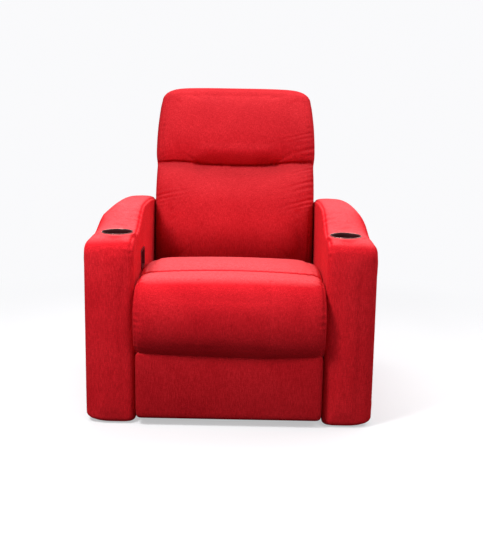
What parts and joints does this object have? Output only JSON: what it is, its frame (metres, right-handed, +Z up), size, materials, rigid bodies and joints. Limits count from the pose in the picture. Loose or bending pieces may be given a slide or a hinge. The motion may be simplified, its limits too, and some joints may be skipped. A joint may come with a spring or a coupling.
{
  "type": "reclining auditorium chair",
  "caption": "Padded reclining cinema seat with arms, cup holders, a leaning backrest and a fold-out footrest.",
  "frame": {"origin": "on the floor, under the middle of the chair's box, backrest upright and footrest closed", "axes": "+Z up, +Y towards the back of the chair, -Y the way the sitter faces, +X to the right when looking at the chair from the front"},
  "size_m": [0.908, 0.8971, 1.0549],
  "materials": {
    "upholstery": "soft red velvet weave",
    "plywood": "raw plywood",
    "cup_metal": "brushed rim over a dark well",
    "glide_plastic": "moulded",
    "black_frame": "satin black",
    "zinc_steel": "zinc plated",
    "roller_plastic": "nylon",
    "latch_plastic": "dark red",
    "cable_jacket": "smooth",
    "webbing": "woven strap"
  },
  "bodies": {
    "base": {"left_arm_cover": "upholstery", "right_arm_cover": "upholstery", "left_arm_frame": "plywood", "right_arm_frame": "plywood", "left_cup_holder": "cup_metal", "right_cup_holder": "cup_metal", "arm_glides": "glide_plastic", "left_base_rail": "black_frame", "right_base_rail": "black_frame", "front_cross_tube": "black_frame", "rear_cross_tube": "black_frame", "rail_bolts": "zinc_steel", "rear_panel": "upholstery", "rear_cleats": "plywood", "latch_bezel": "latch_plastic", "latch_pin": "zinc_steel", "release_cable": "cable_jacket"},
    "seat": {"left_side_plate": "black_frame", "right_side_plate": "black_frame", "seat_front_board": "plywood", "seat_rear_board": "plywood", "left_seat_board": "plywood", "right_seat_board": "plywood", "seat_springs": "zinc_steel", "spring_clips": "roller_plastic", "seat_cushion": "upholstery", "recline_pins": "zinc_steel", "hip_rivets": "zinc_steel"},
    "front_axle": {"front_axle": "zinc_steel", "front_rollers": "roller_plastic"},
    "rear_axle": {"rear_axle": "zinc_steel", "rear_rollers": "roller_plastic"},
    "hip_links": {"left_hip_link": "black_frame", "right_hip_link": "black_frame", "link_cross_tube": "black_frame", "knee_rivets": "zinc_steel"},
    "knee_links": {"left_knee_link": "black_frame", "right_knee_link": "black_frame", "ankle_rivets": "zinc_steel"},
    "footrest": {"left_foot_bracket": "black_frame", "right_foot_bracket": "black_frame", "foot_board": "plywood", "foot_pad": "upholstery", "foot_bolts": "zinc_steel"},
    "backrest": {"back_frame": "plywood", "back_webbing": "webbing", "back_cushion": "upholstery", "back_shell": "upholstery", "left_back_bracket": "black_frame", "right_back_bracket": "black_frame", "bracket_bolts": "zinc_steel"},
    "latch": {"latch_lever": "latch_plastic"}
  },
  "joints": [
    {"name": "backrest_recline", "type": "hinge", "parent": "seat", "child": "backrest", "pos_m": [0, 0.15218, 0.311], "axis": [-1, 0, 0], "range_deg": [0, 40]},
    {"name": "seat_glide", "type": "slide", "parent": "base", "child": "seat", "axis": [0, -0.9945, 0.1045], "range_m": [0, 0.075]},
    {"name": "front_rollers_turn", "type": "hinge", "parent": "seat", "child": "front_axle", "pos_m": [0, -0.21782, 0.15], "axis": [1, 0, 0], "range_deg": [0, 310]},
    {"name": "rear_rollers_turn", "type": "hinge", "parent": "seat", "child": "rear_axle", "pos_m": [0, 0.07218, 0.11952], "axis": [1, 0, 0], "range_deg": [0, 310]},
    {"name": "footrest_open", "type": "hinge", "parent": "seat", "child": "hip_links", "pos_m": [0, -0.30782, 0.203], "axis": [-1, 0, 0], "range_deg": [0, 87]},
    {"name": "knee_unfold", "type": "hinge", "parent": "hip_links", "child": "knee_links", "pos_m": [0, -0.32182, 0.044], "axis": [-1, 0, 0], "range_deg": [-140.97, 0]},
    {"name": "footrest_tilt", "type": "hinge", "parent": "knee_links", "child": "footrest", "pos_m": [0, -0.33582, 0.203], "axis": [-1, 0, 0], "range_deg": [0, 141.97]},
    {"name": "latch_pull", "type": "hinge", "parent": "base", "child": "latch", "pos_m": [-0.309, -0.18982, 0.497], "axis": [0, 0, -1], "range_deg": [0, 22], "stiffness_Nm_per_rad": 0.1}
  ],
  "couplings": [
    {"joint": "seat_glide", "follows": "backrest_recline", "m_per_rad": 0.10742},
    {"joint": "front_rollers_turn", "follows": "backrest_recline", "ratio": 7.6735},
    {"joint": "rear_rollers_turn", "follows": "backrest_recline", "ratio": 7.6735},
    {"joint": "knee_unfold", "follows": "footrest_open", "ratio": -1.6088},
    {"joint": "footrest_tilt", "follows": "footrest_open", "ratio": 1.6203}
  ]
}
